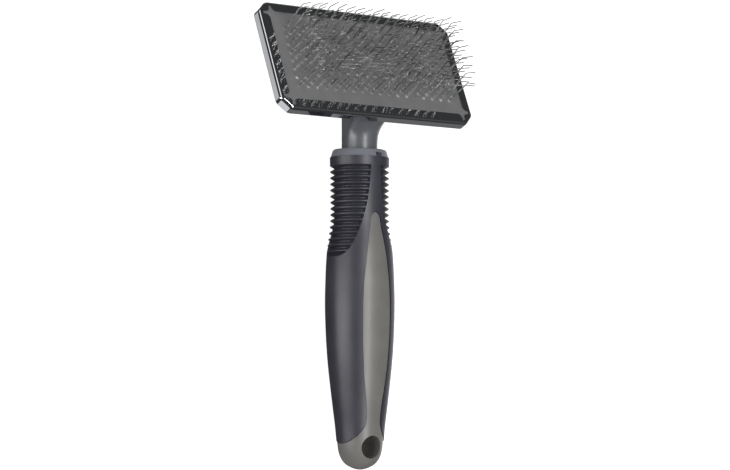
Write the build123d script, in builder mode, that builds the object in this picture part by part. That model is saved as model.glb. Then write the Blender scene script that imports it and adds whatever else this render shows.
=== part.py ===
from build123d import *
import math
import os

# Slicker brush, lying on its back with the wires up. Millimetres.
# +X along the head's long side, +Y from the handle's end towards the head,
# +Z up. The origin is the centre of the footprint on the table.

os.makedirs("parts", exist_ok=True)

# ---------------------------------------------------------------- dimensions
# resting attitude
rest_tilt = 1.393         # degrees, head end lower than the handle end
rest_y = 39.1325          # collar's top along the table
rest_z = 12.394           # collar's centre above the table

# handle
handle_length = 140.1     # collar top to the end
width_factor = 1.035      # handle section is a little wider than round
depth_factor = 0.93       # and a little shallower
grip_profile = [          # (distance below the collar top, radius)
    (3.4, 13.12), (9.5, 13.02), (17.0, 12.93), (24.0, 12.85), (30.0, 12.88),
    (36.0, 13.35), (42.0, 14.15), (50.0, 14.82), (58.0, 15.14), (67.5, 15.32),
    (76.0, 15.16), (86.0, 14.70), (96.0, 13.90), (106.0, 12.80),
    (115.0, 11.72), (122.0, 10.88), (128.0, 10.32), (132.0, 9.80),
    (135.0, 8.75), (137.6, 6.75), (139.3, 3.75), (140.1, 0.0)]
core_step = 0.30          # core's face lies this far under the grip's face
grip_wall_top = 3.0       # grip thickness at the ribs
grip_wall_low = 2.0       # grip thickness at the lobes' ends
grip_gap = 0.30           # between the grip's inner face and the core
collar_height = 3.3
collar_r_top = 11.95
collar_r_low = 12.75
window = [                # half outline: (half width, distance below top)
    (0.0, 27.7), (1.9, 29.2), (3.0, 34.0), (3.9, 38.7), (4.65, 43.1),
    (5.35, 47.6), (6.55, 56.5), (7.25, 70.4), (7.0, 85.1), (6.35, 94.6),
    (5.25, 104.1), (4.2, 111.0), (3.75, 116.4), (3.9, 119.5), (4.8, 122.0),
    (6.1, 124.0), (8.0, 126.2), (9.5, 127.7), (12.5, 129.6)]
window_gap = 0.25
rib_first = 8.4
rib_pitch = 2.70
rib_count = 15
rib_depth = 1.75
rib_zone = [              # (half width kept plain on the face, distance)
    (2.3, 5.6), (2.6, 12.0), (3.2, 18.0), (4.1, 24.0), (5.3, 29.0),
    (6.7, 33.5), (8.3, 37.8), (10.2, 42.0), (12.2, 45.6), (15.5, 48.4)]
key_width = 2.4
key_x = 2.0
hang_hole_r = 5.0
hang_hole_y = 130.1

# neck and tang
neck_r = 7.9
tang_width = 9.0
tang_depth = 8.0
tang_length = 42.0
tang_gap = 0.30
cross_pin_r = 1.5
cross_pin_y = 24.0
cross_pin_length = 18.0

# head
head_tilt = 23.2
head_y = 37.87
head_z = 6.79
pan_length = 104.0
pan_width = 53.3
pan_depth = 5.0
sheet = 0.5
opening_length = 94.3
opening_width = 43.3
corner_cut = 4.7
corner_round = 3.0
fold_r = 1.6
lip_end_in = 6.7          # lips end this far from the pan's corners
lip_end_r = 2.2
slot_width = 1.4
tab_cut = 1.25
sheet_gap = 1.4           # between the pad's layers and the pan's walls
face_thickness = 0.9
ply_thickness = 0.5
wire_r = 0.21
bend_r = 0.40
knee_r = 1.4
knee_height = 12.8        # lower part, from the lips' outer face to the knee
upper_length = 6.2
knee_angle = 33.0
row_lean_first = 0.6      # lean of a row's wires away from the handle, degrees
row_lean_step = 0.82
pin_pitch = 4.8           # between legs along a row
row_pitch = 2.03
row_first = -14.9
odd_start = -40.8
even_start = -38.4
staples_per_row = 9
row_count = 16
carrier_thickness = 5.1
carrier_inset_x = 5.6
carrier_inset_s = 3.95
carrier_round = 1.6
spine_length = 38.0
rivet_x = 36.0
rivet_s = 12.0
rivet_r = 1.2

# ------------------------------------------------------------------- planes
brush = Plane(origin=(0, rest_y, rest_z), x_dir=(1, 0, 0),
              z_dir=(0, math.sin(math.radians(rest_tilt)),
                     math.cos(math.radians(rest_tilt))))
head = Plane(brush.location * Location((0, head_y, head_z), (-head_tilt, 0, 0)))


def wall(d):
    """Grip thickness at distance d below the collar's top."""
    f = min(1.0, max(0.0, (d - 50.0) / 60.0))
    return grip_wall_top + (grip_wall_low - grip_wall_top) * f


face_floor = -sheet - face_thickness
ply_floor = face_floor - ply_thickness
crown_n = ply_floor - wire_r - 0.15
foam_top = crown_n - wire_r - 0.02
pan_floor_top = -(pan_depth - sheet)
carrier_top = -pan_depth - 0.02
carrier_back = carrier_top - carrier_thickness

# ------------------------------------------------- pressed pan (chromed steel)
# Edge of the lips and the four corner tabs, round one corner: the end of the
# far lip, the slot, the tab's inner corner, the slot, the end of the side lip.
lip_x = pan_length / 2 - lip_end_in
lip_s = pan_width / 2 - lip_end_in
slot_out_x = pan_length / 2 - fold_r - 0.05
slot_out_s = pan_width / 2 - fold_r - 0.05
corner = [((lip_x, opening_width / 2), lip_end_r),
          ((lip_x, slot_out_s), 0.3),
          ((lip_x + slot_width, slot_out_s), 0.3),
          ((lip_x + slot_width, lip_s + slot_width + tab_cut), 0.5),
          ((lip_x + slot_width + tab_cut, lip_s + slot_width), 0.5),
          ((slot_out_x, lip_s + slot_width), 0.3),
          ((slot_out_x, lip_s), 0.3),
          ((opening_length / 2, lip_s), lip_end_r)]
rim, rim_radii = [], []
for i, j in ((1, 1), (1, -1), (-1, -1), (-1, 1)):
    for (x, s), r in (corner if i * j > 0 else reversed(corner)):
        rim.append((i * x, j * s))
        rim_radii.append(r)

with BuildPart(mode=Mode.PRIVATE) as pan_room:
    with BuildSketch(head.offset(pan_floor_top)) as room:
        Rectangle(pan_length - 2 * sheet, pan_width - 2 * sheet)
        chamfer(room.vertices(), corner_cut - 0.586 * sheet)
        fillet(room.vertices(), corner_round - sheet)
    extrude(amount=pan_depth - 2 * sheet)
    fillet(pan_room.faces().sort_by(Axis(head.origin, head.z_dir))[-1].edges(),
           fold_r - sheet)

with BuildPart() as pan:
    with BuildSketch(head.offset(-pan_depth)) as outline:
        Rectangle(pan_length, pan_width)
        chamfer(outline.vertices(), corner_cut)
        fillet(outline.vertices(), corner_round)
    extrude(amount=pan_depth)
    fillet(pan.faces().sort_by(Axis(head.origin, head.z_dir))[-1].edges(),
           fold_r)
    fillet(pan.faces().sort_by(Axis(head.origin, head.z_dir))[0].edges(), 0.45)
    add(pan_room.part, mode=Mode.SUBTRACT)
    with BuildSketch(head.offset(-sheet - 0.1)):
        with BuildLine():
            FilletPolyline(*rim, radius=rim_radii, close=True)
        make_face()
    extrude(amount=sheet + 0.3, mode=Mode.SUBTRACT)
    with BuildSketch(head.offset(-pan_depth - 0.1)):
        with Locations(*[(i * rivet_x, j * rivet_s)
                         for i in (-1, 1) for j in (-1, 1)]):
            Circle(rivet_r + 0.3)
    extrude(amount=sheet + 0.2, mode=Mode.SUBTRACT)
pan.part.label = "pan_frame"

# ------------------------------------------------- pad: face, ply, foam
sheet_length = pan_length - 2 * sheet - 2 * sheet_gap
sheet_width = pan_width - 2 * sheet - 2 * sheet_gap
base_points = [((odd_start if k % 2 == 0 else even_start) + pin_pitch * i,
                row_first + row_pitch * k)
               for k in range(row_count) for i in range(2 * staples_per_row)]

with BuildPart() as pad_face:
    with BuildSketch(head.offset(face_floor)) as face_sketch:
        Rectangle(sheet_length, sheet_width)
        chamfer(face_sketch.vertices(), corner_cut - 0.6)
        with Locations(*base_points):
            Circle(wire_r + 0.09, mode=Mode.SUBTRACT)
    extrude(amount=face_thickness)
pad_face.part.label = "pad_face"

with BuildPart() as pad_ply:
    with BuildSketch(head.offset(ply_floor)) as ply_sketch:
        Rectangle(sheet_length, sheet_width)
        chamfer(ply_sketch.vertices(), corner_cut - 0.6)
        with Locations(*base_points):
            Circle(wire_r + 0.09, mode=Mode.SUBTRACT)
    extrude(amount=ply_thickness)
pad_ply.part.label = "pad_ply"

with BuildPart() as pad_foam:
    with BuildSketch(head.offset(pan_floor_top)) as foam_sketch:
        Rectangle(sheet_length, sheet_width)
        chamfer(foam_sketch.vertices(), corner_cut - 0.6)
        with Locations(*[(i * rivet_x, j * rivet_s)
                         for i in (-1, 1) for j in (-1, 1)]):
            Circle(3.1, mode=Mode.SUBTRACT)
    extrude(amount=foam_top - pan_floor_top)
pad_foam.part.label = "pad_foam"

# ------------------------------------------------- wire staples, row by row
def staple(lean):
    """Two wire legs and the crown that joins them under the pad."""
    knee = (knee_height * math.sin(lean), knee_height * math.cos(lean))
    bend = math.radians(knee_angle) - lean
    tip = (knee[0] - upper_length * math.sin(bend),
           knee[1] + upper_length * math.cos(bend))
    with BuildPart(mode=Mode.PRIVATE) as one:
        with BuildLine() as line:
            FilletPolyline((0, *tip), (0, *knee), (0, 0, 0), (0, 0, crown_n),
                           (pin_pitch, 0, crown_n), (pin_pitch, 0, 0),
                           (pin_pitch, *knee), (pin_pitch, *tip),
                           radius=[knee_r, bend_r, bend_r, bend_r, bend_r,
                                   knee_r])
        with BuildSketch(Plane(origin=line.wire() @ 0,
                               z_dir=line.wire() % 0)):
            Circle(wire_r)
        sweep()
    return one.part


rows = []
for k in range(row_count):
    start = odd_start if k % 2 == 0 else even_start
    wires = staple(math.radians(row_lean_first + row_lean_step * k))
    with BuildPart(head) as row:
        with Locations(*[(start + 2 * pin_pitch * i,
                          row_first + row_pitch * k, 0)
                         for i in range(staples_per_row)]):
            add(wires)
    row.part.label = "wire_row_%02d" % (k + 1)
    rows.append(row.part)

# ------------------------------------------------- carrier, neck and tang
neck_sections = [(-1.0, 0.1), (4.5, 0.1), (6.5, 0.55), (8.5, 1.6),
                 (10.0, 2.9), (11.2, 4.3), (12.5, 6.2), (14.0, 8.6)]
with BuildPart(mode=Mode.PRIVATE) as spine:
    for y, rise in neck_sections:
        with BuildSketch(Plane(brush.location
                               * Location((0, y, rise / 2), (-90, 0, 0)))):
            SlotCenterToCenter(rise, 2 * neck_r, rotation=90)
    loft()
    with BuildSketch(Plane(brush.location * Location((0, 14.0, 4.3),
                                                     (-90, 0, 0)))):
        SlotCenterToCenter(8.6, 2 * neck_r, rotation=90)
    extrude(amount=spine_length)
    with BuildSketch(head.offset(carrier_top)):
        Rectangle(2 * pan_length, 2 * pan_width)
    extrude(amount=60.0, mode=Mode.SUBTRACT)

with BuildPart() as carrier:
    with BuildSketch(head.offset(carrier_back)) as plate:
        Rectangle(pan_length - 2 * carrier_inset_x,
                  pan_width - 2 * carrier_inset_s)
        chamfer(plate.vertices(), corner_cut - 1.2)
        fillet(plate.vertices(), 2.0)
    extrude(amount=carrier_thickness, taper=-12)
    fillet(carrier.faces().sort_by(Axis(head.origin, head.z_dir))[0].edges(),
           carrier_round)
    add(spine.part)
    with BuildSketch(Plane(brush.location
                           * Location((0, -tang_length, 0), (-90, 0, 0)))):
        RectangleRounded(tang_width, tang_depth, 1.5)
    extrude(amount=tang_length + 3.0)
    with BuildSketch(Plane(brush.location
                           * Location((0, -cross_pin_y, 0), (0, 90, 0)))):
        Circle(cross_pin_r + 0.3)
    extrude(amount=20.0, both=True, mode=Mode.SUBTRACT)
    with BuildSketch(head.offset(carrier_back - 0.5)):
        with Locations(*[(i * rivet_x, j * rivet_s)
                         for i in (-1, 1) for j in (-1, 1)]):
            Circle(rivet_r + 0.3)
    extrude(amount=carrier_thickness + 1.0, mode=Mode.SUBTRACT)
    with BuildSketch(head.offset(carrier_back - 0.5)):
        with Locations(*[(i * rivet_x, j * rivet_s)
                         for i in (-1, 1) for j in (-1, 1)]):
            Circle(2.9)
    extrude(amount=1.6, mode=Mode.SUBTRACT)
carrier.part.label = "head_carrier"

# ------------------------------------------------- pan rivets
with BuildPart(mode=Mode.PRIVATE) as rivet:
    with BuildSketch(Plane.XZ) as rivet_half:
        with BuildLine():
            Polyline((0, carrier_back + 0.2), (1.7, carrier_back + 0.2),
                     (2.5, carrier_back + 0.75), (2.5, carrier_back + 1.08),
                     (rivet_r, carrier_back + 1.08),
                     (rivet_r, pan_floor_top + 0.02),
                     (2.4, pan_floor_top + 0.02), (2.1, pan_floor_top + 0.8),
                     (0, pan_floor_top + 1.0), (0, carrier_back + 0.2))
        make_face()
    revolve(axis=Axis.Z)
with BuildPart(head) as rivets:
    with Locations(*[(i * rivet_x, j * rivet_s, 0)
                     for i in (-1, 1) for j in (-1, 1)]):
        add(rivet.part)
rivets.part.label = "pan_rivets"

# ------------------------------------------------- handle: round blanks
def outline(gap):
    """Half outline of the raised face between the grip's two lobes."""
    inside = [(w - gap, -d - (gap if d > 119.0 else 0.0))
              for w, d in window[1:]]
    return [(0, -window[0][1] - gap)] + inside


def lobe_room(gap):
    """Sketch of everything the grip's lobes leave open, seen from the front."""
    half = outline(gap)
    with BuildSketch(mode=Mode.PRIVATE) as shape:
        with BuildLine():
            right = Spline(*half)
            left = Spline(*[(-x, y) for x, y in half])
            low = half[-1][1]
            Polyline(right @ 1, (30.0, low), (30.0, -150.0),
                     (-30.0, -150.0), (-30.0, low), left @ 1)
        make_face()
    return shape.sketch


with BuildPart(mode=Mode.PRIVATE) as core_blank:
    with BuildSketch() as core_half:
        with BuildLine():
            body = Spline(*[(max(r - core_step, 0), -d)
                            for d, r in grip_profile[:-1]]
                          + [(0, -handle_length + core_step * 0.2)],
                          tangents=[(0, -1), (-1, 0)])
            Polyline(body @ 1, (0, -3.4), body @ 0)
        make_face()
    revolve(axis=Axis.Y)
    with BuildSketch():
        add(lobe_room(window_gap))
    extrude(amount=30.0, both=True, mode=Mode.INTERSECT)
    with BuildSketch() as inner_half:
        with BuildLine():
            inner = Spline(*[(r - wall(d) - grip_gap, -d)
                             for d, r in grip_profile if d < 133.0])
            Polyline(inner @ 1, (0, -132.0), (0, -3.0),
                     ((inner @ 0).X, -3.0), inner @ 0)
        make_face()
    revolve(axis=Axis.Y)
    with BuildSketch() as collar_half:
        with BuildLine():
            Polyline((0, 0), (collar_r_top - 0.5, 0), (collar_r_top, -0.5),
                     (collar_r_low, -collar_height), (0, -collar_height), (0, 0))
        make_face()
    revolve(axis=Axis.Y)
    with Locations((key_x, -collar_height, 12.0)):
        Box(key_width + 0.5, 3.4, 4.0, mode=Mode.SUBTRACT)
    scale(by=(width_factor, 1, depth_factor))

with BuildPart(mode=Mode.PRIVATE) as rib_cutter:
    with BuildSketch():
        with BuildLine():
            teeth = []
            for i in range(rib_count):
                y = -rib_first - rib_pitch * i
                d = -y
                r = 12.9 if d < 32 else 12.9 + (d - 32) * 0.125
                teeth += [(r + 0.12, y + 1.22), (r - rib_depth, y + 0.12),
                          (r - rib_depth, y - 0.12), (r + 0.12, y - 1.22)]
            Polyline((18.0, teeth[0][1]), *teeth, (18.0, teeth[-1][1]),
                     (18.0, teeth[0][1]))
        make_face()
    revolve(axis=Axis.Y)
    with BuildSketch():
        with BuildLine():
            zone = Spline(*[(w, -d) for w, d in rib_zone])
            Polyline(zone @ 1, (25.0, -48.4), (25.0, -5.6), zone @ 0)
        make_face()
        mirror(about=Plane.YZ)
    extrude(amount=30.0, both=True, mode=Mode.INTERSECT)

with BuildPart(mode=Mode.PRIVATE) as grip_blank:
    with BuildSketch() as grip_half:
        with BuildLine():
            outer = Spline(*[(r, -d) for d, r in grip_profile if d < 133.0])
            under = Spline(*[(r - wall(d), -d)
                             for d, r in grip_profile if d < 133.0])
            Line(outer @ 0, under @ 0)
            Line(outer @ 1, under @ 1)
        make_face()
    revolve(axis=Axis.Y)
    with BuildSketch():
        add(lobe_room(0))
    extrude(amount=30.0, both=True, mode=Mode.SUBTRACT)
    add(rib_cutter.part, mode=Mode.SUBTRACT)
    scale(by=(width_factor, 1, depth_factor))

# ------------------------------------------------- handle core and grip
with BuildPart(brush) as core:
    add(core_blank.part)
    with BuildSketch(Plane(brush.location
                           * Location((0, -tang_length - tang_gap, 0),
                                      (-90, 0, 0)))):
        RectangleRounded(tang_width + 2 * tang_gap, tang_depth + 2 * tang_gap,
                         1.8)
    extrude(amount=tang_length + 2.0, mode=Mode.SUBTRACT)
    with BuildSketch(Plane(brush.location
                           * Location((0, -1.3, 0), (-90, 0, 0)))):
        Circle(neck_r + 0.3)
    extrude(amount=3.0, mode=Mode.SUBTRACT)
    with BuildSketch(Plane(brush.location
                           * Location((0, -cross_pin_y, 0), (0, 90, 0)))):
        Circle(cross_pin_r + 0.3)
    extrude(amount=20.0, both=True, mode=Mode.SUBTRACT)
    with BuildSketch(Plane(brush.location
                           * Location((0, -hang_hole_y, 0)))):
        Circle(hang_hole_r)
    extrude(amount=20.0, both=True, mode=Mode.SUBTRACT)
core.part.label = "handle_core"

with BuildPart(brush) as grip:
    add(grip_blank.part)
    with Locations((key_x * width_factor, -2.75, 11.0)):
        Box(key_width, 1.7, 1.9)
grip.part.label = "grip_sleeve"

with BuildPart() as cross_pin:
    with BuildSketch(Plane(brush.location
                           * Location((-cross_pin_length / 2, -cross_pin_y, 0),
                                      (0, 90, 0)))):
        Circle(cross_pin_r)
    extrude(amount=cross_pin_length)
cross_pin.part.label = "cross_pin"

# ------------------------------------------------- export
export_step(pan.part, "parts/pan_frame.step")
export_step(pad_face.part, "parts/pad_face.step")
export_step(pad_ply.part, "parts/pad_ply.step")
export_step(pad_foam.part, "parts/pad_foam.step")
export_step(carrier.part, "parts/head_carrier.step")
export_step(rivets.part, "parts/pan_rivets.step")
export_step(core.part, "parts/handle_core.step")
export_step(grip.part, "parts/grip_sleeve.step")
export_step(cross_pin.part, "parts/cross_pin.step")
for row_part in rows:
    export_step(row_part, "parts/%s.step" % row_part.label)
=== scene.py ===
import bpy
import math
import random
import numpy as np
from mathutils import Matrix, Vector


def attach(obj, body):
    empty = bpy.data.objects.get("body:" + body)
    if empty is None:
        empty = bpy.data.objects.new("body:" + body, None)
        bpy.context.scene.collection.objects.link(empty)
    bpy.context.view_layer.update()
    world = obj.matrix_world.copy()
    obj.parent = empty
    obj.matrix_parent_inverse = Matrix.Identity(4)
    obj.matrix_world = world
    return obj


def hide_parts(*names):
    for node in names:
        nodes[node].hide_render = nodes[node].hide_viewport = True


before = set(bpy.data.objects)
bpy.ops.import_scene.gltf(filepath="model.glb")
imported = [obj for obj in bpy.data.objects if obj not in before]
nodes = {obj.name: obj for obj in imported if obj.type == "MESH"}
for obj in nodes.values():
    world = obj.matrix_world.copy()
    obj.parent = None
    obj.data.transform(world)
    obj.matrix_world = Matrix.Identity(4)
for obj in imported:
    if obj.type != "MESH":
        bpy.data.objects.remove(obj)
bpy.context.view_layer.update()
MM = 0.001

# ------------------------------------------------------------ brush's own axes
# The handle's axis and the head's plane, measured on the frame.
REST_TILT = math.radians(1.393)
BRUSH_O = Vector((0, 39.1325, 12.394)) * MM
BY = Vector((0, math.cos(REST_TILT), -math.sin(REST_TILT)))
BZ = Vector((0, math.sin(REST_TILT), math.cos(REST_TILT)))
BX = Vector((1, 0, 0))
HEAD_TILT = REST_TILT + math.radians(23.2)
HS = Vector((0, math.cos(HEAD_TILT), -math.sin(HEAD_TILT)))
HN = Vector((0, math.sin(HEAD_TILT), math.cos(HEAD_TILT)))
HEAD_O = BRUSH_O + BY * 37.87 * MM + BZ * 6.79 * MM


def brush_matrix():
    m = Matrix.Identity(4)
    for i, v in enumerate((BX, BY, BZ, BRUSH_O)):
        for j in range(3):
            m[j][i] = v[j]
    return m


def head_matrix():
    m = Matrix.Identity(4)
    for i, v in enumerate((BX, HS, HN, HEAD_O)):
        for j in range(3):
            m[j][i] = v[j]
    return m


# ---------------------------------------------------------------- camera
AZ, EL, ROLL = math.radians(36.296), math.radians(-4.273), math.radians(-0.102)
DIST, FOCAL = 0.96645, 2193.9
V = BX * (-math.sin(AZ) * math.cos(EL)) + BY * math.sin(EL) \
    + BZ * (math.cos(AZ) * math.cos(EL))
R = (-V).cross(BY).normalized()
U = R.cross(-V)
R2 = R * math.cos(ROLL) + U * math.sin(ROLL)
U2 = U * math.cos(ROLL) - R * math.sin(ROLL)
target = BRUSH_O + BX * 2.867 * MM + BY * (-37.247 * MM)
cam_data = bpy.data.cameras.new("camera")
cam = bpy.data.objects.new("camera", cam_data)
bpy.context.scene.collection.objects.link(cam)
cam_data.sensor_width = 36.0
cam_data.sensor_fit = "HORIZONTAL"
cam_data.lens = FOCAL * 36.0 / 730.0
cam_data.clip_start, cam_data.clip_end = 0.01, 50.0
m = Matrix.Identity(4)
for i, v in enumerate((R2, U2, V, target + V * DIST)):
    for j in range(3):
        m[j][i] = v[j]
cam.matrix_world = m
bpy.context.scene.camera = cam
bpy.context.scene.view_settings.view_transform = "Standard"
bpy.context.scene.view_settings.look = "None"


# ---------------------------------------------------------------- helpers
def mesh_object(name, verts, faces, matrix=None, smooth=True):
    me = bpy.data.meshes.new(name)
    me.from_pydata([tuple(v) for v in verts], [], [tuple(f) for f in faces])
    if matrix is not None:
        me.transform(matrix)
    me.validate()
    if smooth:
        me.shade_smooth()
    me.update()
    ob = bpy.data.objects.new(name, me)
    bpy.context.scene.collection.objects.link(ob)
    return ob


class Mat:
    """A node material with a few short cuts."""

    def __init__(self, name):
        self.m = bpy.data.materials.new(name)
        self.m.use_nodes = True
        self.t = self.m.node_tree
        self.b = self.t.nodes["Principled BSDF"]
        self.co = self.t.nodes.new("ShaderNodeTexCoord")

    def node(self, kind, **kw):
        n = self.t.nodes.new(kind)
        for k, v in kw.items():
            if k in n.inputs:
                n.inputs[k].default_value = v
            else:
                setattr(n, k, v)
        return n

    def link(self, a, b):
        self.t.links.new(a, b)

    def mapped(self, scale, rot=(0, 0, 0)):
        n = self.t.nodes.new("ShaderNodeMapping")
        n.inputs["Scale"].default_value = scale
        n.inputs["Rotation"].default_value = rot
        self.link(self.co.outputs["Object"], n.inputs["Vector"])
        return n.outputs["Vector"]

    def noise(self, scale, detail=2.0, rough=0.5, vector=None, **kw):
        n = self.t.nodes.new("ShaderNodeTexNoise")
        n.inputs["Scale"].default_value = scale
        n.inputs["Detail"].default_value = detail
        n.inputs["Roughness"].default_value = rough
        self.link(vector if vector is not None else self.co.outputs["Object"],
                  n.inputs["Vector"])
        return n.outputs["Fac"]

    def ramp(self, fac, stops):
        n = self.t.nodes.new("ShaderNodeValToRGB")
        e = n.color_ramp.elements
        while len(e) < len(stops):
            e.new(0.5)
        for el, (p, c) in zip(e, stops):
            el.position = p
            el.color = c if len(c) == 4 else (*c, 1)
        self.link(fac, n.inputs["Fac"])
        return n.outputs["Color"]

    def span(self, fac, lo, hi, a=0.0, b=1.0):
        n = self.t.nodes.new("ShaderNodeMapRange")
        n.inputs["From Min"].default_value = a
        n.inputs["From Max"].default_value = b
        n.inputs["To Min"].default_value = lo
        n.inputs["To Max"].default_value = hi
        self.link(fac, n.inputs["Value"])
        return n.outputs["Result"]

    def bump(self, height, strength, distance, normal=None):
        n = self.t.nodes.new("ShaderNodeBump")
        n.inputs["Strength"].default_value = strength
        n.inputs["Distance"].default_value = distance
        self.link(height, n.inputs["Height"])
        if normal is not None:
            self.link(normal, n.inputs["Normal"])
        return n.outputs["Normal"]

    def set(self, **kw):
        for k, v in kw.items():
            self.b.inputs[k.replace("_", " ")].default_value = v
        return self


def lin(r, g, b):
    def f(c):
        c /= 255.0
        return c / 12.92 if c <= 0.04045 else ((c + 0.055) / 1.055) ** 2.4
    return (f(r), f(g), f(b), 1.0)


def chrome():
    k = Mat("pan_chrome_mat")
    k.set(Metallic=1.0)
    tint = k.noise(45, 3, 0.55)
    k.link(k.ramp(tint, [(0.3, (0.62, 0.63, 0.65)), (0.7, (0.70, 0.71, 0.73))]),
           k.b.inputs["Base Color"])
    smear = k.noise(60, 4, 0.6, k.mapped((1, 0.35, 1)))
    k.link(k.span(smear, 0.025, 0.07, 0.35, 0.7), k.b.inputs["Roughness"])
    wave = k.noise(48, 1.5, 0.4)
    grain = k.noise(900, 2, 0.5, k.mapped((1, 0.1, 0.1)))
    n1 = k.bump(wave, 0.10, 0.0005)
    k.link(k.bump(grain, 0.04, 0.00003, n1), k.b.inputs["Normal"])
    return k.m


def wire():
    k = Mat("wire_mat")
    # painted highlight: the stray wire's metallic is lowered so that it shows as
    # a bright line, standing in for its glint
    stray_glint = k.t.nodes.new("ShaderNodeAttribute")
    stray_glint.attribute_name = "stray_glint"
    k.link(k.span(stray_glint.outputs["Fac"], 0.9, 0.25), k.b.inputs["Metallic"])
    # random tone along the wires; its near-black and near-white ends stand in for
    # the dark sides and glints, so this is partly painted shade and painted
    # highlight
    tone = k.noise(140, 2, 0.6)
    k.link(k.ramp(tone, [(0.38, (0.22, 0.22, 0.215)),
                         (0.50, (0.50, 0.50, 0.49)),
                         (0.62, (0.92, 0.92, 0.90))]),
           k.b.inputs["Base Color"])
    k.link(k.span(k.noise(1500, 2), 0.20, 0.34), k.b.inputs["Roughness"])
    k.link(k.bump(k.noise(4000, 2), 0.1, 0.00001), k.b.inputs["Normal"])
    return k.m


def steel():
    k = Mat("rivet_mat")
    k.set(Metallic=1.0)
    k.link(k.ramp(k.noise(900, 3), [(0.3, (0.5, 0.5, 0.51)),
                                    (0.7, (0.66, 0.66, 0.67))]),
           k.b.inputs["Base Color"])
    k.link(k.span(k.noise(2500, 2), 0.2, 0.4), k.b.inputs["Roughness"])
    return k.m


def pad():
    k = Mat("pad_rubber_mat")
    tone = k.noise(130, 5, 0.65)
    base = k.ramp(tone, [(0.25, lin(80, 80, 81)[:3]),
                         (0.75, lin(91, 91, 91)[:3])])
    # painted highlight: the pad colour is lightened to near white around each
    # wire foot, standing in for glints at the feet
    foot_glint = k.t.nodes.new("ShaderNodeAttribute")
    foot_glint.attribute_name = "foot_glint"
    mix = k.t.nodes.new("ShaderNodeMix")
    mix.data_type = "RGBA"
    k.link(foot_glint.outputs["Fac"], mix.inputs["Factor"])
    k.link(base, mix.inputs["A"])
    k.link(k.ramp(k.noise(400, 2), [(0.3, lin(165, 166, 167)[:3]),
                                    (0.7, lin(232, 233, 234)[:3])]),
           mix.inputs["B"])
    k.link(mix.outputs["Result"], k.b.inputs["Base Color"])
    k.link(k.span(k.noise(700, 2), 0.62, 0.8), k.b.inputs["Roughness"])
    n1 = k.bump(k.noise(1400, 3, 0.6), 0.25, 0.00005)
    k.link(k.bump(k.noise(160, 2, 0.5), 0.2, 0.0003, n1),
           k.b.inputs["Normal"])
    return k.m


def plastic(name, dark, light, rough=(0.3, 0.42), grain=0.12, level=0.5):
    k = Mat(name)
    tone = k.noise(70, 4, 0.6)
    k.link(k.ramp(tone, [(0.3, dark[:3]), (0.7, light[:3])]),
           k.b.inputs["Base Color"])
    k.link(k.span(k.noise(500, 3, 0.6), rough[0], rough[1]),
           k.b.inputs["Roughness"])
    k.b.inputs["Specular IOR Level"].default_value = level
    n1 = k.bump(k.noise(2600, 2, 0.6), grain, 0.00003)
    k.link(k.bump(k.noise(120, 2, 0.5), 0.08, 0.0003, n1),
           k.b.inputs["Normal"])
    return k.m


def core_plastic():
    """Warm grey body, cooler grey at the collar end."""
    k = Mat("core_plastic_mat")
    tone = k.noise(70, 4, 0.6)
    warm = k.ramp(tone, [(0.3, lin(85, 83, 81)[:3]), (0.7, lin(93, 91, 88)[:3])])
    cool = k.ramp(tone, [(0.3, lin(84, 86, 92)[:3]), (0.7, lin(92, 94, 100)[:3])])
    xyz = k.t.nodes.new("ShaderNodeSeparateXYZ")
    k.link(k.co.outputs["Object"], xyz.inputs["Vector"])
    mix = k.t.nodes.new("ShaderNodeMix")
    mix.data_type = "RGBA"
    k.link(k.span(xyz.outputs["Y"], 0.0, 1.0, 0.0, 0.036), mix.inputs["Factor"])
    k.link(warm, mix.inputs["A"])
    k.link(cool, mix.inputs["B"])
    k.link(mix.outputs["Result"], k.b.inputs["Base Color"])
    k.link(k.span(k.noise(500, 3, 0.6), 0.3, 0.42), k.b.inputs["Roughness"])
    n1 = k.bump(k.noise(2600, 2, 0.6), 0.12, 0.00003)
    k.link(k.bump(k.noise(120, 2, 0.5), 0.08, 0.0003, n1),
           k.b.inputs["Normal"])
    return k.m


def rubber():
    k = Mat("grip_rubber_mat")
    tone = k.noise(90, 5, 0.65)
    k.link(k.ramp(tone, [(0.3, lin(36, 36, 43)[:3]),
                         (0.75, lin(44, 44, 52)[:3])]),
           k.b.inputs["Base Color"])
    k.link(k.span(k.noise(900, 3, 0.6), 0.34, 0.48), k.b.inputs["Roughness"])
    k.b.inputs["Specular IOR Level"].default_value = 0.65
    n1 = k.bump(k.noise(3000, 3, 0.65), 0.35, 0.00004)
    k.link(k.bump(k.noise(110, 2, 0.5), 0.08, 0.0003, n1),
           k.b.inputs["Normal"])
    return k.m


def cloth():
    k = Mat("ply_mat")
    w = k.node("ShaderNodeTexWave", Scale=900.0)
    k.link(k.mapped((1, 1, 0.05)), w.inputs["Vector"])
    k.link(k.ramp(w.outputs["Fac"], [(0.2, (0.4, 0.38, 0.33)),
                                     (0.8, (0.6, 0.58, 0.52))]),
           k.b.inputs["Base Color"])
    k.link(k.span(k.noise(900, 2), 0.8, 0.95), k.b.inputs["Roughness"])
    k.link(k.bump(w.outputs["Fac"], 0.4, 0.0002), k.b.inputs["Normal"])
    return k.m


def foam():
    k = Mat("foam_mat")
    v = k.node("ShaderNodeTexVoronoi", Scale=1600.0)
    k.link(k.co.outputs["Object"], v.inputs["Vector"])
    k.link(k.ramp(v.outputs["Distance"], [(0.1, (0.05, 0.05, 0.055)),
                                          (0.7, (0.13, 0.13, 0.135))]),
           k.b.inputs["Base Color"])
    k.link(k.span(k.noise(900, 2), 0.85, 0.98), k.b.inputs["Roughness"])
    k.link(k.bump(v.outputs["Distance"], 0.5, 0.0002), k.b.inputs["Normal"])
    return k.m


def paint(node, mat):
    ob = nodes[node]
    if not ob.material_slots:
        ob.data.materials.append(mat)
    for s in ob.material_slots:
        s.material = mat


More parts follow.
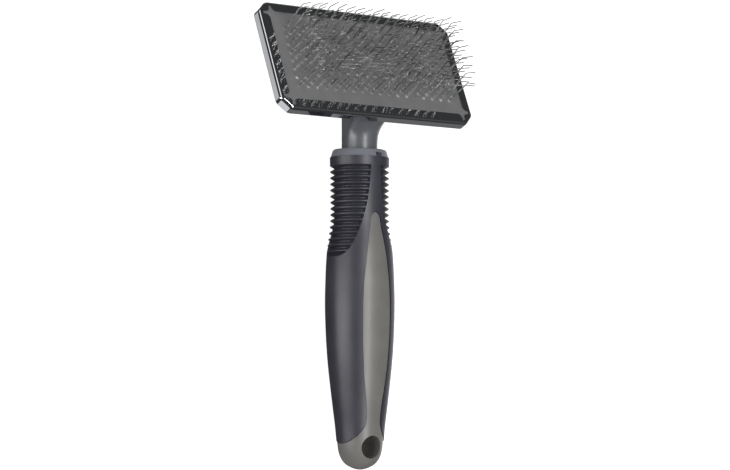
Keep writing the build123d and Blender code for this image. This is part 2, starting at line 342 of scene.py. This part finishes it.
M_CHROME, M_WIRE, M_STEEL, M_PAD = chrome(), wire(), steel(), pad()
M_NECK = plastic("neck_plastic_mat", lin(66, 68, 72), lin(74, 76, 80),
                 rough=(0.28, 0.38), level=0.7)
M_CORE = core_plastic()
M_GRIP, M_CLOTH, M_FOAM = rubber(), cloth(), foam()

paint("pan_frame", M_CHROME)
paint("pan_rivets", M_STEEL)
paint("cross_pin", M_STEEL)
paint("head_carrier", M_NECK)
paint("handle_core", M_CORE)
paint("grip_sleeve", M_GRIP)
paint("pad_ply", M_CLOTH)
paint("pad_foam", M_FOAM)

# ---------------------------------------------------------------- wires
PITCH, ROW_PITCH, ROW_FIRST = 4.8, 2.03, -14.9
ODD, EVEN, STAPLES, ROWS = -40.8, -38.4, 9, 16
WIRE_R, KNEE_H, UPPER, KNEE_A = 0.21, 12.8, 6.2, math.radians(33.0)
LEAN_FIRST, LEAN_STEP = 0.6, 0.82
CROWN_N = -1.9 - 0.21 - 0.15


def arc_path(points, radii, steps=5):
    """Rounds a polyline's corners."""
    pts = [np.array(p, float) for p in points]
    out = [pts[0]]
    for i in range(1, len(pts) - 1):
        a, b, c = pts[i - 1], pts[i], pts[i + 1]
        u, w = (a - b) / np.linalg.norm(a - b), (c - b) / np.linalg.norm(c - b)
        ang = math.acos(max(-1, min(1, float(u @ w))))
        t = min(radii[i - 1] / math.tan(ang / 2), 0.45 * np.linalg.norm(a - b),
                0.45 * np.linalg.norm(c - b))
        p0, p1 = b + u * t, b + w * t
        for k in range(steps + 1):
            s = k / steps
            out.append((1 - s) ** 2 * p0 + 2 * s * (1 - s) * b + s * s * p1)
    out.append(pts[-1])
    return out


def tube(path, radius, sides, verts, faces, tip=0.6):
    """Adds a closed round tube along path."""
    path = [np.array(p, float) for p in path]
    n = len(path)
    tang = []
    for i in range(n):
        d = path[min(i + 1, n - 1)] - path[max(i - 1, 0)]
        tang.append(d / np.linalg.norm(d))
    ref = np.array([1.0, 0, 0])
    if abs(tang[0] @ ref) > 0.9:
        ref = np.array([0, 1.0, 0])
    nrm = np.cross(tang[0], ref)
    nrm /= np.linalg.norm(nrm)
    start = len(verts)
    rings = [(path[0], tang[0], radius * tip)]
    cut = 0.12
    rings.append((path[0] + tang[0] * cut, tang[0], radius))
    for i in range(1, n - 1):
        rings.append((path[i], tang[i], radius))
    rings.append((path[-1] - tang[-1] * cut, tang[-1], radius))
    rings.append((path[-1], tang[-1], radius * tip))
    for p, t, r in rings:
        nrm = nrm - t * (nrm @ t)
        nrm /= np.linalg.norm(nrm)
        bi = np.cross(t, nrm)
        for k in range(sides):
            a = 2 * math.pi * k / sides
            verts.append(p + (nrm * math.cos(a) + bi * math.sin(a)) * r)
    m_ = len(rings)
    for i in range(m_ - 1):
        for k in range(sides):
            k2 = (k + 1) % sides
            faces.append((start + i * sides + k, start + i * sides + k2,
                          start + (i + 1) * sides + k2,
                          start + (i + 1) * sides + k))
    faces.append(tuple(start + k for k in range(sides))[::-1])
    faces.append(tuple(start + (m_ - 1) * sides + k for k in range(sides)))


rng = random.Random(7)


def leg(x, s, row):
    """Knee and tip of one wire leg that stands at (x, s)."""
    wild = rng.random() < 0.05
    k = 2.6 if wild else 1.0
    lean_x = math.radians(rng.gauss(0, 1.2) * k)
    lean_s = math.radians(LEAN_FIRST + LEAN_STEP * row + rng.gauss(0, 1.1) * k)
    h = KNEE_H + rng.gauss(0, 0.25)
    low = (math.sin(lean_x), math.sin(lean_s), math.cos(lean_s))
    knee = (x + h * low[0], s + h * low[1], h * low[2])
    a = KNEE_A - lean_s + math.radians(rng.gauss(0, 2.4) * k)
    side = lean_x + math.radians(rng.gauss(0, 2.0) * k)
    up = UPPER + rng.gauss(0, 0.2)
    d = (math.sin(side), -math.sin(a), math.cos(a))
    tip = tuple(knee[i] + up * d[i] for i in range(3))
    return [knee, tip]


def stray(x, s):
    """One wire that has been knocked out of line."""
    p1 = (x + 0.1, s + 0.4, 8.4)
    p2 = (p1[0] + 9.0 * 0.45, p1[1] + 0.1, p1[2] + 9.0 * 0.89)
    p3 = (p2[0] + 3.6 * 0.30, p2[1] - 3.6 * 0.62, p2[2] + 3.6 * 0.72)
    return [p1, p2, p3]


wv, wf = [], []
bases = []
STRAY_ROW, STRAY_LEG = 2, 10
for k in range(ROWS):
    x0 = ODD if k % 2 == 0 else EVEN
    s = ROW_FIRST + ROW_PITCH * k
    for i in range(STAPLES):
        xa = x0 + 2 * PITCH * i
        xb = xa + PITCH
        bases += [(xa, s), (xb, s)]
        ua, ub = leg(xa, s, k), leg(xb, s, k)
        if k == STRAY_ROW and 2 * i == STRAY_LEG:
            ua = stray(xa, s)
        if k == STRAY_ROW and 2 * i + 1 == STRAY_LEG:
            ub = stray(xb, s)
        pts = ua[::-1] + [(xa, s, 0.0), (xa, s, CROWN_N), (xb, s, CROWN_N),
                          (xb, s, 0.0)] + ub
        radii = [1.6] * (len(ua) - 1) + [0.8, 0.4, 0.4, 0.8] \
            + [1.6] * (len(ub) - 1)
        v0 = len(wv)
        tube(arc_path(pts, radii), WIRE_R, 8, wv, wf)
        # mark the stray leg's vertices for the painted highlight in wire_mat
        if k == STRAY_ROW and STRAY_LEG in (2 * i, 2 * i + 1):
            mid = (xa + xb) / 2
            stray_glint_verts = [q for q in range(v0, len(wv))
                           if (wv[q][0] < mid) == (STRAY_LEG == 2 * i)]
wires = mesh_object("wires", np.array(wv) * MM, wf, head_matrix())
wires.data.materials.append(M_WIRE)
values = np.zeros(len(wires.data.vertices), dtype=np.float32)
values[stray_glint_verts] = 1.0
wires.data.attributes.new("stray_glint", "FLOAT", "POINT").data.foreach_set(
    "value", values)
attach(wires, "root")
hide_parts(*["wire_row_%02d" % (k + 1) for k in range(ROWS)])

# ---------------------------------------------------------------- pad face
PL, PW, CUT = 100.2, 49.5, 4.1
FACE_TOP, FACE_LOW = -0.5, -1.4
nx, ny = 251, 124
xs = np.linspace(-PL / 2, PL / 2, nx)
ys = np.linspace(-PW / 2, PW / 2, ny)
X, Y = np.meshgrid(xs, ys, indexing="ij")
# pull the four corners in to the cut outline
ax, ay = np.abs(X), np.abs(Y)
over = (ax + ay) - (PL / 2 + PW / 2 - CUT)
over = np.clip(over, 0, None) / 2
Xc = np.sign(X) * (ax - over)
Yc = np.sign(Y) * (ay - over)
noise_seed = np.random.RandomState(3)
Z = np.zeros_like(X)
for _ in range(14):
    kx, ky = noise_seed.uniform(-0.22, 0.22, 2)
    Z += 0.010 * np.sin(kx * X + ky * Y + noise_seed.uniform(0, 6.28))
# per-vertex weight for the painted highlight that lightens the pad around each
# wire foot
foot_glint = np.zeros_like(X)
foot_glint_rng = np.random.RandomState(9)
for bx, by in bases:
    i0, i1 = np.searchsorted(xs, [bx - 1.3, bx + 1.3])
    j0, j1 = np.searchsorted(ys, [by - 1.3, by + 1.3])
    d2 = (X[i0:i1, j0:j1] - bx) ** 2 + (Y[i0:i1, j0:j1] - by) ** 2
    Z[i0:i1, j0:j1] += 0.10 * np.exp(-d2 / 0.30) - 0.18 * np.exp(-d2 / 0.09)
    foot_glint[i0:i1, j0:j1] += foot_glint_rng.uniform(0.2, 0.9) * np.exp(-d2 / 0.30)
edge = np.minimum(46.8 - ax, 21.3 - ay)
Z = np.where(edge < 0, np.minimum(Z, -0.02), Z) + FACE_TOP
Z = np.minimum(Z, FACE_TOP + 0.09)
pv = [(Xc[i, j], Yc[i, j], Z[i, j]) for i in range(nx) for j in range(ny)]
pf = [(i * ny + j, (i + 1) * ny + j, (i + 1) * ny + j + 1, i * ny + j + 1)
      for i in range(nx - 1) for j in range(ny - 1)]
rim = [i * ny for i in range(nx)] + [(nx - 1) * ny + j for j in range(1, ny)] \
    + [i * ny + ny - 1 for i in range(nx - 2, -1, -1)] \
    + [j for j in range(ny - 2, 0, -1)]
low0 = len(pv)
pv += [(pv[q][0], pv[q][1], FACE_LOW) for q in rim]
nr = len(rim)
pf += [(rim[(q + 1) % nr], rim[q], low0 + q, low0 + (q + 1) % nr)
       for q in range(nr)]
pf.append(tuple(low0 + q for q in range(nr))[::-1])
pad_face = mesh_object("pad_face_sheet", np.array(pv) * MM, pf, head_matrix())
pad_face.data.materials.append(M_PAD)
# stores the painted-highlight weight around the wire feet for pad_rubber_mat
layer = pad_face.data.attributes.new("foot_glint", "FLOAT", "POINT")
values = np.zeros(len(pad_face.data.vertices), dtype=np.float32)
values[:nx * ny] = np.clip(foot_glint, 0, 1).ravel()
layer.data.foreach_set("value", values)
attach(pad_face, "root")
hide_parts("pad_face")

# ---------------------------------------------------------------- stage
stage_v, stage_f = [], []
ring_r = [0.0, 0.4, 0.8, 1.2, 1.7, 2.3, 2.9, 3.3, 3.55, 3.7, 3.78, 3.8]
ring_z = [0, 0, 0, 0, 0, 0, 0.04, 0.16, 0.36, 0.7, 1.2, 2.2]
SEG = 96
stage_v.append((0, 0, 0))
for r_, z_ in zip(ring_r[1:], ring_z[1:]):
    for q in range(SEG):
        a = 2 * math.pi * q / SEG
        stage_v.append((r_ * math.cos(a), r_ * math.sin(a), z_))
for q in range(SEG):
    stage_f.append((0, 1 + q, 1 + (q + 1) % SEG))
for k in range(len(ring_r) - 2):
    for q in range(SEG):
        a, b = 1 + k * SEG + q, 1 + k * SEG + (q + 1) % SEG
        stage_f.append((a, a + SEG, b + SEG, b))
floor = mesh_object("floor", stage_v, stage_f)
km = Mat("floor_mat")
km.link(km.ramp(km.noise(3, 2), [(0.3, (0.20, 0.20, 0.20)),
                                 (0.7, (0.22, 0.22, 0.22))]),
        km.b.inputs["Base Color"])
km.set(Roughness=0.9)
km.b.inputs["Specular IOR Level"].default_value = 0.0
km.b.inputs["Emission Color"].default_value = (1.0, 1.0, 1.0, 1.0)
km.b.inputs["Emission Strength"].default_value = 0.96
floor.data.materials.append(km.m)
floor.visible_glossy = False

world = bpy.data.worlds.new("world")
bpy.context.scene.world = world
world.use_nodes = True
bg = world.node_tree.nodes["Background"]
bg.inputs["Color"].default_value = (0.93, 0.96, 1.0, 1)
bg.inputs["Strength"].default_value = 0.048


def area(name, direction, dist, size, power, size_y=None, aim=None,
         spread=180.0):
    ld = bpy.data.lights.new(name, "AREA")
    ld.energy = power
    ld.shape = "RECTANGLE"
    ld.size = size
    ld.size_y = size_y or size
    ld.spread = math.radians(spread)
    lo = bpy.data.objects.new(name, ld)
    bpy.context.scene.collection.objects.link(lo)
    at = aim or Vector((0, 0, 0.02))
    lo.location = at + direction.normalized() * dist
    lo.rotation_mode = "QUATERNION"
    lo.rotation_quaternion = (-direction).to_track_quat("-Z", "Y")
    lo.visible_camera = False
    return lo


def on_head(x, s, n):
    return HEAD_O + BX * (x * MM) + HS * (s * MM) + HN * (n * MM)


def card(name, at, normal, dist, across, along, axis, radiance):
    """Soft card seen in the plated sheet at one place and facing it.
    axis is the direction of its long side."""
    view = (cam.matrix_world.translation - at).normalized()
    nrm = normal.normalized()
    ray = 2 * view.dot(nrm) * nrm - view
    ld = bpy.data.lights.new(name, "AREA")
    ld.shape = "RECTANGLE"
    ld.size, ld.size_y = across, along
    ld.energy = radiance * math.pi * across * along
    lo = bpy.data.objects.new(name, ld)
    bpy.context.scene.collection.objects.link(lo)
    z = -ray
    y = (axis - axis.dot(ray) * ray).normalized()
    x = y.cross(-z).normalized()
    x = y.cross(ray)
    mat = Matrix.Identity(4)
    for i, v in enumerate((x, y, ray, at + ray * dist)):
        for j in range(3):
            mat[j][i] = v[j]
    lo.matrix_world = mat
    lo.visible_camera = False
    return lo


# broad overhead fill, an overhead strip and a low one on the -X side
fill = area("light_fill", BZ * 1.0 + BY * 0.05, 2.2, 2.6, 54)
fill.visible_glossy = False
area("light_top", BZ * 1.0 - BY * 0.06, 1.4, 0.40, 12, 1.2)
area("light_left", BX * -1.0 + BZ * 0.10 - BY * 0.05, 1.3, 0.30, 9, 1.2)

# cards just under the table, seen only in the pan's walls
card("card_side", on_head(-52, 0, -2.6), -BX, 0.040, 0.010, 0.066, HS, 0.42)
card("card_side_low", on_head(-52, 0, -4.6), -BX, 0.040, 0.008, 0.066, HS, 0.16)
card("card_corner", on_head(-49.7, -24.3, -3.0), -BX - HS, 0.060, 0.05, 0.024,
     HS, 0.75)
card("card_near", on_head(0, -26.6, -4.2), -HS, 0.30, 0.30, 0.60, BX, 0.12)
card("card_far", on_head(-49.7, 24.3, -2.8), -BX + HS, 0.05, 0.04, 0.04,
     HS, 0.6)
card("card_rim", on_head(0, 26.0, -0.5), HN * 0.86 + HS * 0.5, 0.25, 0.12, 0.4,
     BX, 0.5)
card("card_fold", on_head(-51.4, 0, -0.6), -BX * 0.74 + HN * 0.67, 0.8, 0.35,
     1.0, HS, 1.2)

# faint card seen in the near fold
area("card_faint", BX * 0.60 - BY * 0.20 + BZ * 0.75, 1.5, 0.8, 0.10)

# stands in for the white table in glancing reflections on the +X side
under = area("card_under", BX * 0.80 + BY * 0.10 - BZ * 0.60, 1.2, 0.9,
             1.0 * math.pi * 0.9 * 1.2, 1.2)
